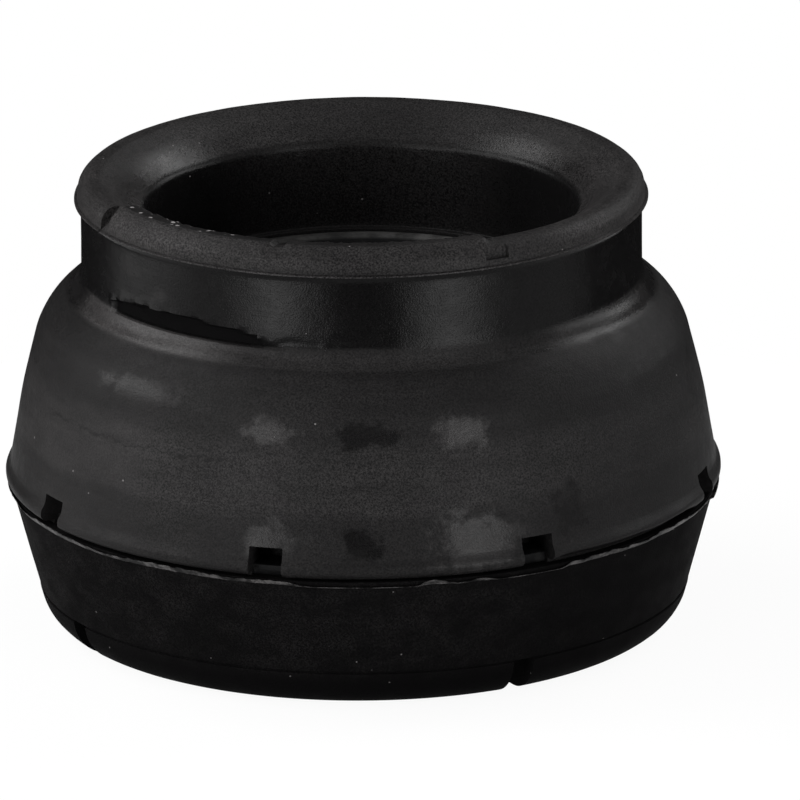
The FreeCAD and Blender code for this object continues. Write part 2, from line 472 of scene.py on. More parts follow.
def patch(tree, place, centre, radius, flatness, ragged):
    """One at a centre and none beyond a radius, with a ragged edge, and as much lower as its flatness."""
    squeezed = stretched(tree, place, (1, 1, flatness))
    away = add_node(tree, "ShaderNodeVectorMath", operation="DISTANCE")
    feed(tree, away.inputs[0], squeezed)
    away.inputs[1].default_value = (centre.x, centre.y, centre.z * flatness)
    torn = calc(tree, "MULTIPLY", calc(tree, "SUBTRACT", ragged, 0.5), radius * 2.2)
    return fade(tree, calc(tree, "ADD", away.outputs["Value"], torn), radius * 0.45, radius * 1.05, 1.0, 0.0)


def specks(tree, place, spacing, size, share):
    """Small round specks, in a share of the cells."""
    made = add_node(tree, "ShaderNodeTexVoronoi")
    feed(tree, made.inputs["Vector"], place)
    made.inputs["Scale"].default_value = 1 / spacing
    near = fade(tree, made.outputs["Distance"], size / spacing * 0.6, size / spacing, 1.0, 0.0)
    red = add_node(tree, "ShaderNodeSeparateColor")
    feed(tree, red.inputs[0], made.outputs["Color"])
    chosen = calc(tree, "LESS_THAN", red.outputs[0], share)
    return calc(tree, "MULTIPLY", near, chosen)


def bump(tree, height, distance, strength, onto=None):
    """Normal bent by a height pattern."""
    made = add_node(tree, "ShaderNodeBump")
    made.inputs["Distance"].default_value = distance
    made.inputs["Strength"].default_value = strength
    feed(tree, made.inputs["Height"], height)
    if onto:
        feed(tree, made.inputs["Normal"], onto)
    return made.outputs["Normal"]


def new_surface(name):
    """An empty material: its tree and its shader."""
    material = bpy.data.materials.new(name)
    material.use_nodes = True
    tree = material.node_tree
    shader = tree.nodes["Principled BSDF"]
    return material, tree, shader


def grained(tree, place, amount, contrast):
    """Fine uneven grain, and an amount broken up by it."""
    grain = cloud(tree, place, 0.21 * MM, 2.0, 0.6)
    swing = calc(tree, "MULTIPLY", fade(tree, grain, 0.28, 0.72, -1.0, 1.0), contrast)
    share = calc(tree, "MAXIMUM", calc(tree, "ADD", swing, 1.0), 0.0)
    return grain, calc(tree, "MULTIPLY", amount, share)


def turned_wave(tree, azimuth, start):
    """Cosine of the azimuth counted from a start, so a mask made from it closes round the back."""
    return calc(tree, "COSINE", calc(tree, "RADIANS", calc(tree, "SUBTRACT", azimuth, start)))


def rubber_surface(finish):
    """Moulded black rubber with a grey bloom, fine grain, glossy wiped spots, crumbs and dust, and painted light:
    painted highlights on the spots, along the fillet and on the pad's edge, a painted light on the bore's far wall,
    painted side light and shade, and painted shade in the undercut.
    """
    material, tree, shader = new_surface("moulded_rubber")
    place = place_socket(tree)
    azimuth, radius, height = round_places(tree, place)
    ragged = cloud(tree, place, 2.2 * MM, 5.0, 0.7)
    broad = cloud(tree, place, 14 * MM, 3.0)
    wiped = cloud(tree, stretched(tree, place, (1, 1, 7)), 9 * MM, 4.0, 0.6)
    torn_height = calc(tree, "ADD", height, calc(tree, "MULTIPLY", calc(tree, "SUBTRACT", ragged, 0.5), 3 * MM))

    neck = fade(tree, height, 41.2 * MM, 42.4 * MM)
    funnel = both(tree, fade(tree, height, 49.9 * MM, 50.6 * MM), fade(tree, radius, 29 * MM, 31 * MM, 1.0, 0.0))
    rim = calc(tree, "MAXIMUM", funnel, fade(tree, height, 50.9 * MM, 51.6 * MM))
    outside = fade(tree, radius, 25.35 * MM, 25.9 * MM)
    belt = between(tree, height, 25.5 * MM, 31 * MM, 2.5 * MM)
    pad = both(tree, rim, between(tree, azimuth, PAD_START, PAD_END, 0.5))
    # Painted highlight: extra grey along the pad's outer edge.
    painted_pad_edge_highlight = both(tree, pad, between(tree, radius, 31.6 * MM, 33 * MM, 0.4 * MM))
    undercut = both(
        tree, between(tree, torn_height, 42.3 * MM, 43.9 * MM, 0.4 * MM),
        between(tree, azimuth, LEDGE_START + 1, 4, 12),
    )
    mould_line = both(
        tree, between(tree, torn_height, 29.8 * MM, 29.9 * MM, 0.1 * MM), between(tree, azimuth, -48, -10, 6)
    )
    drawn_in = calc(tree, "SUBTRACT", radius, fade(tree, azimuth, -5, 0, 1.5 * MM, 0.0))
    pad_inside = both(tree, pad, between(tree, drawn_in, 24.5 * MM, 29.6 * MM, 0.3 * MM))
    bead_line = both(tree, fade(tree, radius, 33.3 * MM, 33.5 * MM), between(tree, height, 50.9 * MM, 51.5 * MM, MM))
    # Painted highlight: a pale band on the fillet under the neck, strongest on the left, where a lamp gleams.
    fillet = both(
        tree, between(tree, height, 40.3 * MM, 42.1 * MM, 0.5 * MM), fade(tree, radius, 32.6 * MM, 32.9 * MM)
    )
    painted_fillet_highlight = calc(tree, "MULTIPLY", between(tree, azimuth, -50, -22, 14), 0.42)
    painted_fillet_highlight = calc(tree, "ADD", painted_fillet_highlight, calc(tree, "MULTIPLY", between(tree, azimuth, -10, 40, 14), 0.1))
    painted_fillet_highlight = calc(tree, "ADD", painted_fillet_highlight, calc(tree, "MULTIPLY", between(tree, azimuth, 62, 92, 8), 0.1))
    painted_fillet_highlight = both(tree, both(tree, painted_fillet_highlight, fillet), fade(tree, ragged, 0.2, 0.8, 0.7, 1.3))
    # Painted side light and shade: below the shoulder the skirt's grey is stronger on the left and weaker on the
    # right.
    rightward = turned_wave(tree, azimuth, 90)
    below_shoulder = fade(tree, height, 36.5 * MM, 38.5 * MM, 1.0, 0.0)
    painted_side_shade = both(
        tree, fade(tree, rightward, -0.3, 0.3, 1.15, 0.86), fade(tree, rightward, 0.75, 0.95, 1.0, 0.62)
    )
    # Painted side light: the rim's grey is stronger at its sides than at its front and back.
    painted_rim_side_light = fade(tree, calc(tree, "ABSOLUTE", rightward), 0.25, 0.95, 0.72, 1.3)
    # Painted light: grey on the bore's far wall, facing the camera, where light falls in.
    painted_bore_light = fade(tree, turned_wave(tree, azimuth, CAMERA_AZIMUTH), -0.97, -0.68, 1.2, 0.2)
    # Glossy wiped spots; the grey that each one adds is a painted highlight, where a softbox gleams.
    wipe = 0.0
    painted_highlights = 0.0
    for turned, ring, level, size, flatness, amount in WIPED_SPOTS_AND_HIGHLIGHTS:
        spot = patch(tree, place, on_side(turned, ring * MM, level * MM), size * MM, flatness, ragged)
        wipe = calc(tree, "MAXIMUM", wipe, spot)
        painted_highlights = calc(tree, "MAXIMUM", painted_highlights, calc(tree, "MULTIPLY", spot, amount))

    bloom_and_painted_light = calc(tree, "ADD", 0.09, calc(tree, "MULTIPLY", belt, 0.1))
    bloom_and_painted_light = calc(tree, "SUBTRACT", bloom_and_painted_light, calc(tree, "MULTIPLY", neck, 0.07))
    bloom_and_painted_light = calc(tree, "ADD", bloom_and_painted_light, calc(tree, "MULTIPLY", both(tree, rim, painted_rim_side_light), 0.2))
    painted_side_shade_swing = both(tree, below_shoulder, calc(tree, "SUBTRACT", painted_side_shade, 1.0))
    bloom_and_painted_light = calc(tree, "MULTIPLY", bloom_and_painted_light, calc(tree, "ADD", painted_side_shade_swing, 1.0))
    bloom_and_painted_light = calc(tree, "ADD", bloom_and_painted_light, calc(tree, "MULTIPLY", painted_pad_edge_highlight, 0.06))
    bloom_and_painted_light = calc(tree, "MULTIPLY", bloom_and_painted_light, fade(tree, broad, 0.25, 0.75, 0.7, 1.3))
    bloom_and_painted_light = calc(tree, "MULTIPLY", bloom_and_painted_light, fade(tree, wiped, 0.2, 0.8, 0.7, 1.3))
    bloom_and_painted_light = calc(tree, "MULTIPLY", bloom_and_painted_light, outside)
    bloom_and_painted_light = calc(tree, "ADD", bloom_and_painted_light, both(tree, painted_bore_light, fade(tree, outside, 0.0, 1.0, 0.12, 0.02)))
    bloom_and_painted_light = calc(tree, "ADD", bloom_and_painted_light, calc(tree, "MULTIPLY", both(tree, bead_line, ragged), 0.5))
    # The undercut loses nearly all its grey: that near-black is painted shade in the recess.
    for mask, share in ((wipe, 0.65), (undercut, 0.95), (mould_line, 0.6), (pad_inside, 0.5)):
        bloom_and_painted_light = calc(tree, "MULTIPLY", bloom_and_painted_light, fade(tree, mask, 0.0, 1.0, 1.0, 1.0 - share))
    quiet = both(tree, below_shoulder, fade(tree, rightward, -0.55, -0.25, 1.0, 0.0))
    grain, bloom_and_painted_light = grained(tree, place, bloom_and_painted_light, fade(tree, quiet, 0.0, 1.0, 1.0, 0.4))
    painted_highlights = calc(tree, "MULTIPLY", calc(tree, "ADD", painted_highlights, painted_fillet_highlight), fade(tree, grain, 0.28, 0.72, 0.65, 1.35))
    bloom_and_painted_light = calc(tree, "ADD", bloom_and_painted_light, painted_highlights)
    colour = mix_colour(tree, bloom_and_painted_light, finish.rubber_colour, finish.bloom_colour)
    crumb_zone = both(tree, pad, between(tree, radius, 26.5 * MM, 30.9 * MM, 0.4 * MM))
    crumb_zone = both(tree, crumb_zone, between(tree, azimuth, -45, -14, 3))
    crumbs = both(tree, crumb_zone, specks(tree, place, 0.8 * MM, 0.34 * MM, 0.22))
    dust = calc(tree, "MULTIPLY", specks(tree, place, 2.4 * MM, 0.14 * MM, 0.2), 0.5)
    dust = calc(tree, "MAXIMUM", dust, crumbs)
    feed(tree, shader.inputs["Base Color"], mix_colour(tree, dust, colour, finish.dust_colour))

    skirt = both(tree, fade(tree, height, 39.6 * MM, 40.4 * MM, 1, 0), calc(tree, "SUBTRACT", 1.0, wipe))
    cone = both(tree, rim, fade(tree, radius, 26.6 * MM, 30 * MM))
    dull = calc(tree, "MAXIMUM", skirt, cone)
    rough = calc(tree, "ADD", fade(tree, ragged, 0.25, 0.75, 0.18, 0.31), calc(tree, "MULTIPLY", dull, 0.27))
    clean = calc(tree, "MULTIPLY", both(tree, neck, between(tree, azimuth, 11, 21, 7)), 0.1)
    feed(tree, shader.inputs["Roughness"], calc(tree, "SUBTRACT", rough, clean))
    shader.inputs["Specular IOR Level"].default_value = 0.06

    fine = bump(tree, grain, 0.05 * MM, 0.65)
    marks = bump(tree, cloud(tree, place, 3 * MM, 3.0), 0.25 * MM, 0.2, fine)
    chipped = bump(tree, both(tree, pad_inside, ragged), 0.5 * MM, 0.5, marks)
    lines = cloud(tree, stretched(tree, place, (1, 1, 16)), 6 * MM, 3.0)
    feed(tree, shader.inputs["Normal"], bump(tree, lines, 0.15 * MM, 0.12, chipped))
    return material


def base_surface(finish):
    """The blacker and duller rubber below the seam, with less grey towards the bottom, painted shade on its right
    side and sparse dust; on the undercut's floor its darkness is painted shade.
    """
    material, tree, shader = new_surface("base_rubber")
    place = place_socket(tree)
    azimuth, _, height = round_places(tree, place)
    streaks = cloud(tree, stretched(tree, place, (1, 1, 1.5)), 4 * MM, 4.0, 0.6)
    bloom_and_painted_light = both(tree, fade(tree, streaks, 0.3, 0.75, 0.01, 0.055), between(tree, height, 6 * MM, 17 * MM, 3 * MM))
    # Painted shade: the base's grey is fainter on its right side.
    bloom_and_painted_light = both(tree, bloom_and_painted_light, fade(tree, turned_wave(tree, azimuth, 90), 0.5, 0.9, 1.0, 0.3))
    grain, bloom_and_painted_light = grained(tree, place, bloom_and_painted_light, 1.5)
    colour = mix_colour(tree, bloom_and_painted_light, finish.rubber_colour, finish.bloom_colour)
    dust = both(tree, specks(tree, place, 1.6 * MM, 0.13 * MM, 0.2), fade(tree, height, 18 * MM, 20 * MM, 0.3, 0.0))
    feed(tree, shader.inputs["Base Color"], mix_colour(tree, dust, colour, finish.dust_colour))
    feed(tree, shader.inputs["Roughness"], fade(tree, streaks, 0.3, 0.7, 0.75, 0.65))
    feed(tree, shader.inputs["Normal"], bump(tree, grain, 0.05 * MM, 0.8))
    shader.inputs["Specular IOR Level"].default_value = 0.006
    return material


def flash_surface(finish):
    """Thin torn rubber, paler than the moulding."""
    material, tree, shader = new_surface("torn_flash")
    place = place_socket(tree)
    torn = cloud(tree, place, 1.6 * MM, 4.0, 0.7)
    pale = tuple(0.28 * value for value in finish.dust_colour)
    colour = mix_colour(tree, fade(tree, torn, 0.4, 0.68), finish.rubber_colour, pale)
    feed(tree, shader.inputs["Base Color"], colour)
    feed(tree, shader.inputs["Normal"], bump(tree, torn, 0.1 * MM, 0.4))
    shader.inputs["Roughness"].default_value = 0.5
    shader.inputs["Specular IOR Level"].default_value = 0.08
    return material


def steel_surface(finish):
    """Drawn sheet steel under a thin black coat, with faint draw marks, worn patches and a paler crest to its ring.
    """
    material, tree, shader = new_surface("coated_steel")
    place = place_socket(tree)
    _, radius, _ = round_places(tree, place)
    worn = cloud(tree, place, 2.5 * MM, 5.0, 0.65)
    crest = both(tree, between(tree, radius, 22.4 * MM, 23.2 * MM, 0.4 * MM), fade(tree, worn, 0.3, 0.7, 0.3, 1.0))
    drawn = cloud(tree, stretched(tree, place, (1, 1, 12)), 3 * MM, 3.0)
    wear_and_pale_crest = calc(tree, "MAXIMUM", fade(tree, worn, 0.5, 0.8, 0.0, 0.25), crest)
    colour = mix_colour(tree, wear_and_pale_crest, finish.coat_colour, finish.worn_colour)
    feed(tree, shader.inputs["Base Color"], colour)
    feed(tree, shader.inputs["Roughness"], fade(tree, worn, 0.3, 0.7, 0.34, 0.5))
    feed(tree, shader.inputs["Normal"], bump(tree, drawn, 0.1 * MM, 0.2))
    shader.inputs["Metallic"].default_value = 0.0
    shader.inputs["Specular IOR Level"].default_value = 0.03
    return material


def floor_surface():
    """Plain white floor that keeps a soft shadow."""
    material, tree, shader = new_surface("pale_floor")
    shader.inputs["Base Color"].default_value = (0.9, 0.9, 0.9, 1)
    shader.inputs["Roughness"].default_value = 0.9
    glow = add_node(tree, "ShaderNodeEmission")
    glow.inputs["Color"].default_value = (1, 1, 1, 1)
    join = add_node(tree, "ShaderNodeMixShader")
    feed(tree, join.inputs[0], calc(tree, "MULTIPLY", shown_rays(tree), 0.93))
    feed(tree, join.inputs[1], shader.outputs[0])
    feed(tree, join.inputs[2], glow.outputs[0])
    feed(tree, tree.nodes["Material Output"].inputs["Surface"], join.outputs[0])
    return material


def shown_rays(tree):
    """One for rays from the camera and for those that gloss and glass send on."""
    rays = add_node(tree, "ShaderNodeLightPath")
    seen = calc(tree, "MAXIMUM", rays.outputs["Is Camera Ray"], rays.outputs["Is Glossy Ray"])
    return calc(tree, "MAXIMUM", seen, rays.outputs["Is Transmission Ray"])


# Places measured on the object: azimuth in degrees, radius, height and size in millimetres, flatness, and the grey
# of the painted highlight laid on each glossy spot
WIPED_SPOTS_AND_HIGHLIGHTS = (
    (0.3, 39.4, 33.7, 3.9, 2.0, 0.28),
    (33, 39.4, 33.6, 3.9, 1.7, 0.3),
    (16, 39.4, 33.7, 4.6, 2.4, 0.0),
    (0.3, 41.5, 21.5, 3.5, 1.3, 0.16),
    (34.5, 41.5, 20.9, 6.2, 1.4, 0.22),
    (16, 41.5, 21.2, 3.1, 1.2, 0.0),
    (51.8, 41.0, 22.9, 3.0, 0.6, 0.04),
    (-27, 38.3, 36.2, 7.0, 4.5, 0.16),
    (-39, 33.0, 48.4, 2.4, 1.6, 0.08),
    (-30, 33.0, 46.0, 1.8, 1.8, 0.12),
)
WINDOW_COUNT = 8
NOTCH_AZIMUTHS = (-135, -45, 45, 135)
BAND_LINE_HEIGHT = 4.7
GOUGE_AZIMUTH = -47.9
GOUGE_WIDTH = 2.0
GOUGE_TILT = 46
POCKET_AZIMUTH = 44.3
PAD_START = -46.9
PAD_END = 42.8
PAD_BREAK = -2.0
LEDGE_HEIGHT = 44.0
LEDGE_START = -46.5
LEDGE_END = 22
RECESS_BOTTOM = 41.8
RECESS_TOP = 45.4
RECESS_SHALLOWEST = 0.2
RECESS_DEEPEST = 1.2
LOOSE_LIP_START = 50
LOOSE_LIP_END = 88

# Pad: radius and drop below its top, from its foot at the bore to its outer edge
PAD_LINE = ((26.9, 2.5), (27.3, 1.9), (28.4, 0.85), (30.1, 0.0), (31.5, 0.0), (32.5, 0.75), (32.9, 1.2))

# Azimuth, height, half width and half height
RAISED_MARKS = ((14.4, 19.9, 1.6, 0.25), (-52, 21.0, 0.5, 0.4))


# Pieces


def steel_corners(insert, bore, flange_radius, flange_bottom):
    """Upper line of the insert, from the rod hole out to the rim of its flange."""
    floor = insert.floor_height
    flange_top = flange_bottom + insert.sheet
    return [
        (insert.rod_radius, floor - 1.6 * MM),
        (bore - 4.6 * MM, floor - 1.6 * MM, 0.8 * MM),
        (bore - 2.4 * MM, floor + 0.6 * MM, 0.9 * MM),
        (bore - 1.1 * MM, floor, 0.3 * MM),
        (bore + 2.0 * MM, floor, 3.0 * MM),
        (bore + 2.6 * MM, flange_top, 1.0 * MM),
        (flange_radius, flange_top, 0.12 * MM),
    ]


def offset_line(corners, distance):
    """The same line moved to its right by a distance."""
    ways = []
    for start, end in zip(corners, corners[1:]):
        ways.append(Vector((end[0] - start[0], end[1] - start[1])).normalized())
    moved = []
    for index, corner in enumerate(corners):
        before = ways[max(index - 1, 0)]
        after = ways[min(index, len(ways) - 1)]
        share = distance / (1 + before.dot(after))
        place = (corner[0] + (before.y + after.y) * share, corner[1] - (before.x + after.x) * share)
        moved.append(place + tuple(corner[2:]))
    return moved


class STRUT_OT_steel_insert(bpy.types.Operator):
    """Turn the steel hat that the rubber is moulded onto"""

    bl_idname = "strut.steel_insert"
    bl_label = "Steel insert"

    def execute(self, context):
        settings = context.scene.strut_mount
        insert = settings.insert
        upper = steel_corners(insert, settings.moulding.bore_radius, INSERT_HIGH.x, INSERT_LOW.z)
        lower = offset_line(upper, insert.sheet)
        piece = draw_outline("drawn_insert", upper + lower[::-1])
        refine_outline(piece, lambda middle: 2.5 * MM)
        turn(piece, 240)
        smooth(piece)
        finish_piece(piece, "steel_insert", steel_surface(settings.finish))
        return {"FINISHED"}


def rubber_corners(moulding, insert):
    """Closed outline of the moulding, up its outside, down its bore and round the insert."""
    lip = moulding.lip_radius
    neck = moulding.neck_radius
    bore = moulding.bore_radius
    top = moulding.height
    seam = moulding.seam_height
    seam_top = seam + 0.5 * MM
    base_top = lip - 0.6 * MM
    flange_bottom = INSERT_LOW.z
    flange_radius = INSERT_HIGH.x
    skin = insert.floor_height + 0.4 * MM
    band = BAND_LINE_HEIGHT * MM
    band_radius = base_top - 4.5 * MM * (1 - band / seam)
    outside = [
        (moulding.seat_radius, 0.0, 0.3 * MM),
        (base_top - 4.5 * MM, 0.0, 3.7 * MM),
        (band_radius, band - 0.16 * MM, 0.05 * MM),
        (band_radius - 0.22 * MM, band - 0.06 * MM),
        (band_radius - 0.22 * MM, band + 0.06 * MM),
        (band_radius, band + 0.16 * MM, 0.05 * MM),
        (base_top, seam, 0.2 * MM),
        (base_top - 1.2 * MM, seam),
        (base_top - 1.2 * MM, seam_top),
        (lip - 0.5 * MM, seam_top, 0.12 * MM),
        (lip, seam_top + 0.5 * MM, 0.2 * MM),
        (lip, seam_top + 1.3 * MM, 0.3 * MM),
        (lip - 0.55 * MM, seam_top + 2.0 * MM, 0.4 * MM),
        (lip - 2.1 * MM, seam + 11.5 * MM, 2.0 * MM),
        (neck + 4.8 * MM, seam + 20.65 * MM, 2.8 * MM),
        (neck + 2.15 * MM, seam + 22.95 * MM, 0.5 * MM),
        (neck, seam + 24.3 * MM, 2.0 * MM),
        (neck, top - 3.7 * MM, 0.2 * MM),
        (neck + 0.25 * MM, top - 3.1 * MM),
        (neck + 0.75 * MM, top - 3.0 * MM),
        (neck + 0.75 * MM, top - 2.85 * MM),
        (neck + 0.42 * MM, top - 2.75 * MM),
        (neck + 0.2 * MM, top - 0.7 * MM, 1.0 * MM),
        (neck - 1.85 * MM, top, 0.8 * MM),
        (bore + 2.4 * MM, top - 2.05 * MM, 1.1 * MM),
        (bore, top - 4.1 * MM, 0.6 * MM),
        (bore, skin, 0.15 * MM),
        (bore - 0.7 * MM, skin, 0.1 * MM),
        (bore - 0.7 * MM, insert.floor_height),
    ]
    bonded = steel_corners(insert, bore, flange_radius, flange_bottom)[4:6]
    return outside + bonded + [
        (flange_radius, flange_bottom + insert.sheet),
        (flange_radius, flange_bottom),
        (moulding.seat_radius, flange_bottom),
    ]


def outline_step(middle):
    """Short steps on the rim and neck, longer ones elsewhere and longest where nothing shows."""
    radius, height = middle.x / MM, middle.z / MM
    if radius > 26 and height > 50.2 or radius > 32 and height > 41:
        return 0.42 * MM
    if radius > 33 or height > 45:
        return 0.8 * MM
    return 2.5 * MM


def cut_openings(piece, moulding):
    """Windows in the lip, notches under the base, the gouge and the pocket in the rim."""
    lip = moulding.lip_radius
    cutters = []
    for index in range(WINDOW_COUNT):
        azimuth = index * 360 / WINDOW_COUNT
        cutters.append(add_cutter(azimuth, lip, moulding.seam_height + 1.9 * MM, (4.0 * MM, 12.4 * MM, 3.8 * MM)))
    for azimuth in NOTCH_AZIMUTHS:
        cutters.append(add_cutter(azimuth, 34 * MM, 2.2 * MM, (2.7 * MM, 12 * MM, 5.0 * MM)))
    top = moulding.height
    gouge_size = (GOUGE_WIDTH * MM, 4.6 * MM, 3.0 * MM)
    cutters.append(add_cutter(GOUGE_AZIMUTH, 33.0 * MM, top - 0.35 * MM, gouge_size, GOUGE_TILT))
    cutters.append(add_cutter(POCKET_AZIMUTH, 33.55 * MM, top - 1.1 * MM, (3.0 * MM, 2.0 * MM, 2.0 * MM)))
    cut_away(piece, cutters)


def raise_pad(piece, moulding):
    """The front of the rim carries a low rough pad, from the gouge to the pocket, with a break in it."""
    top = moulding.height / MM
    pad_top = top + moulding.pad_rise / MM

    def lift(spot):
        azimuth, radius, height = azimuth_of(spot), radius_of(spot) / MM, spot.z / MM
        if not PAD_START < azimuth < PAD_END or not 26.7 < radius < 32.7 or height < top - 2.9:
            return 0.0
        level = pad_top
        for (low_r, low_drop), (high_r, high_drop) in zip(PAD_LINE, PAD_LINE[1:]):
            if low_r <= radius <= high_r:
                share = (radius - low_r) / (high_r - low_r)
                level = pad_top - low_drop - (high_drop - low_drop) * share
        rough = 0.3 if azimuth < PAD_BREAK else 0.42
        inner = 1 - ramp(radius, 29.6, 30.8)
        level += rough * (0.2 + inner) * wobble(azimuth, spot.z + radius * MM, 1.1, 5.0)
        level -= 0.45 * band(azimuth, PAD_BREAK - 1.0, PAD_BREAK + 1.4, 0.8)
        level = min(level, pad_top)
        return max(level - height, 0.0) / 1.5

    push(piece, "pad", lift, 1.5 * MM, "Z")


def ledge_edge(azimuth):
    """Height of the torn edge over the undercut, in millimetres. It drops towards both ends."""
    ragged = wobble(azimuth, 0, 4.0, 2.0) + 0.5 * wobble(azimuth, 0, 1.2, 7.0)
    drop = 1.1 * ramp(azimuth, -22, -2) + 0.5 * (1 - ramp(azimuth, LEDGE_START, -38))
    return LEDGE_HEIGHT - drop + 0.6 * ragged


def sink_neck_band(piece, moulding):
    """Low on its front the neck is undercut, below a ragged ledge."""
    neck = moulding.neck_radius

    def depth(spot):
        if abs(radius_of(spot) - neck) > 0.4 * MM or not 41.9 * MM < spot.z < 46 * MM:
            return 0.0
        azimuth = azimuth_of(spot)
        edge = ledge_edge(azimuth)
        under = 1 - ramp(spot.z / MM, edge - 0.2, edge + 0.2)
        sides = ramp(azimuth, LEDGE_START, LEDGE_START + 1.5) * (1 - 0.75 * ramp(azimuth, -10, 2))
        return under * sides * (1 - ramp(azimuth, 8, LEDGE_END)) * ramp(spot.z / MM, 41.9, 42.4)

    def lip(spot):
        azimuth = azimuth_of(spot)
        if radius_of(spot) < neck - 0.4 * MM or not LEDGE_START < azimuth < -22:
            return 0.0
        edge = ledge_edge(azimuth)
        chips = max(0.5 + 1.2 * wobble(azimuth, spot.z, 1.4, 3.0), 0)
        return chips * band(spot.z / MM, edge + 0.1, edge + 0.45, 0.3) * (1 - ramp(azimuth, -30, -22))

    push(piece, "undercut", depth, -0.65 * MM)
    push(piece, "ledge_lip", lip, 0.3 * MM)


def in_recess(spot, moulding):
    """Whether a place is on the floor of the undercut."""
    depth = moulding.neck_radius - radius_of(spot)
    inside = RECESS_SHALLOWEST * MM < depth < RECESS_DEEPEST * MM
    return inside and RECESS_BOTTOM * MM < spot.z < RECESS_TOP * MM


def loosen_lip(piece, moulding):
    """On one side the lip stands off the base, so the seam gapes there."""
    seam_top = (moulding.seam_height / MM) + 0.5

    def off(spot):
        height = spot.z / MM
        if radius_of(spot) < 41.0 * MM or not seam_top - 0.1 < height < seam_top + 1.6:
            return 0.0
        azimuth = azimuth_of(spot)
        gape = band(azimuth, LOOSE_LIP_START + 2, LOOSE_LIP_END - 8, 6) * (0.8 + 0.35 * wobble(azimuth, 0, 5, 3))
        nick = 0.12 * max(wobble(azimuth, 0, 1.5, 9), 0)
        return (gape + nick) * (1 - ramp(height, seam_top, seam_top + 1.4))

    push(piece, "loose_lip", off, 0.55 * MM, "Z")


def raise_marks(piece):
    """Small raised moulding marks on the skirt."""

    def height_of(spot):
        azimuth, radius, height = azimuth_of(spot), radius_of(spot) / MM, spot.z / MM
        if radius < 38:
            return 0.0
        return max(
            band((azimuth - mark_azimuth) * radius * math.pi / 180, -half_width, half_width, 0.4)
            * band(height, level - half_height, level + half_height, 0.3)
            for mark_azimuth, level, half_width, half_height in RAISED_MARKS
        )

    push(piece, "marks", height_of, 0.22 * MM)


class STRUT_OT_rubber_moulding(bpy.types.Operator):
    """Turn the rubber moulding and cut its windows, notches and rim marks"""

    bl_idname = "strut.rubber_moulding"
    bl_label = "Rubber moulding"

    def execute(self, context):
        settings = context.scene.strut_mount
        moulding = settings.moulding
        piece = draw_outline("rubber_moulding", rubber_corners(moulding, settings.insert))
        refine_outline(piece, outline_step)
        turn(piece, moulding.turn_steps)
        raise_pad(piece, moulding)
        sink_neck_band(piece, moulding)
        loosen_lip(piece, moulding)
        raise_marks(piece)
        weigh(piece, "rippled", lambda spot: ramp(spot.z, 0.1 * MM, 1.5 * MM))
        ripple(piece, moulding.unevenness, 7 * MM, "rippled")
        cut_openings(piece, moulding)
        smooth(piece)
        finish_piece(piece, "rubber_body", rubber_surface(settings.finish))
        piece.data.materials.append(base_surface(settings.finish))
        base_limit = moulding.seam_height + 0.1 * MM
        # Faces below the seam and on the undercut's floor take the base rubber; on the undercut's floor its darkness
        # is painted shade.
        for face in piece.data.polygons:
            below_seam = face.center.z < base_limit
            face.material_index = int(below_seam or in_recess(face.center, moulding))
        return {"FINISHED"}


def flash_reach(azimuth):
    """How far the flash stands out at an azimuth, from nought to one."""
    left = band(azimuth, -78, 2, 6) * (0.75 + 0.5 * wobble(azimuth, 0, 7, 1))
    front = band(azimuth, 26, 37, 2) * max(wobble(azimuth, 0, 3, 4) + 0.25, 0) * 1.2
    right = band(azimuth, 52, 92, 3) * (0.7 + 0.5 * wobble(azimuth, 0, 3, 6))
    back = 0.3 + 0.9 * wobble(azimuth, 0, 9, 8)
    hidden_side = 1 - band(azimuth, -84, 96, 4)
    return min(max(left, front, right, back * hidden_side, 0.0), 1.0)


class STRUT_OT_seam_flash(bpy.types.Operator):
    """Turn the thin flash at the seam and tear its edge"""

    bl_idname = "strut.seam_flash"
    bl_label = "Seam flash"

    def execute(self, context):
        settings = context.scene.strut_mount
        moulding = settings.moulding
        root = moulding.lip_radius - 0.75 * MM
        low = moulding.seam_height - 0.45 * MM
        corners = [
            (root, low),
            (root + 0.12 * MM, low),
            (root + 0.55 * MM, low + 0.62 * MM),
            (root + 0.48 * MM, low + 0.68 * MM),
        ]
        piece = draw_outline("seam_flash", corners)
        refine_outline(piece, lambda middle: 0.2 * MM)
        turn(piece, 900)

        def shortfall(spot):
            azimuth = azimuth_of(spot)
            fine = 0.25 * wobble(azimuth, 0, 0.9, 12) + 0.15 * wobble(azimuth, 0, 0.4, 15)
            reach = flash_reach(azimuth)
            torn = 1 - min(max(reach * (1 + fine), 0), 1)
            return torn * (0.35 + 0.65 * ramp(spot.z, low, low + 0.5 * MM))

        push(piece, "torn_edge", shortfall, -0.75 * MM, "Z")
        smooth(piece)
        finish_piece(piece, None, flash_surface(settings.finish))
        return {"FINISHED"}


# Stage

CAMERA_AZIMUTH = 16.0
CAMERA_ELEVATION = 17.19
CAMERA_DISTANCE = 2.2
CAMERA_ROLL = -0.48
TARGET = Vector((0, 0, 26 * MM))
FOCAL_PIXELS = 18740.0
IMAGE_WIDTH = 800
CENTRE_X_PIXEL = 362.9
CENTRE_Y_PIXEL = 400.5

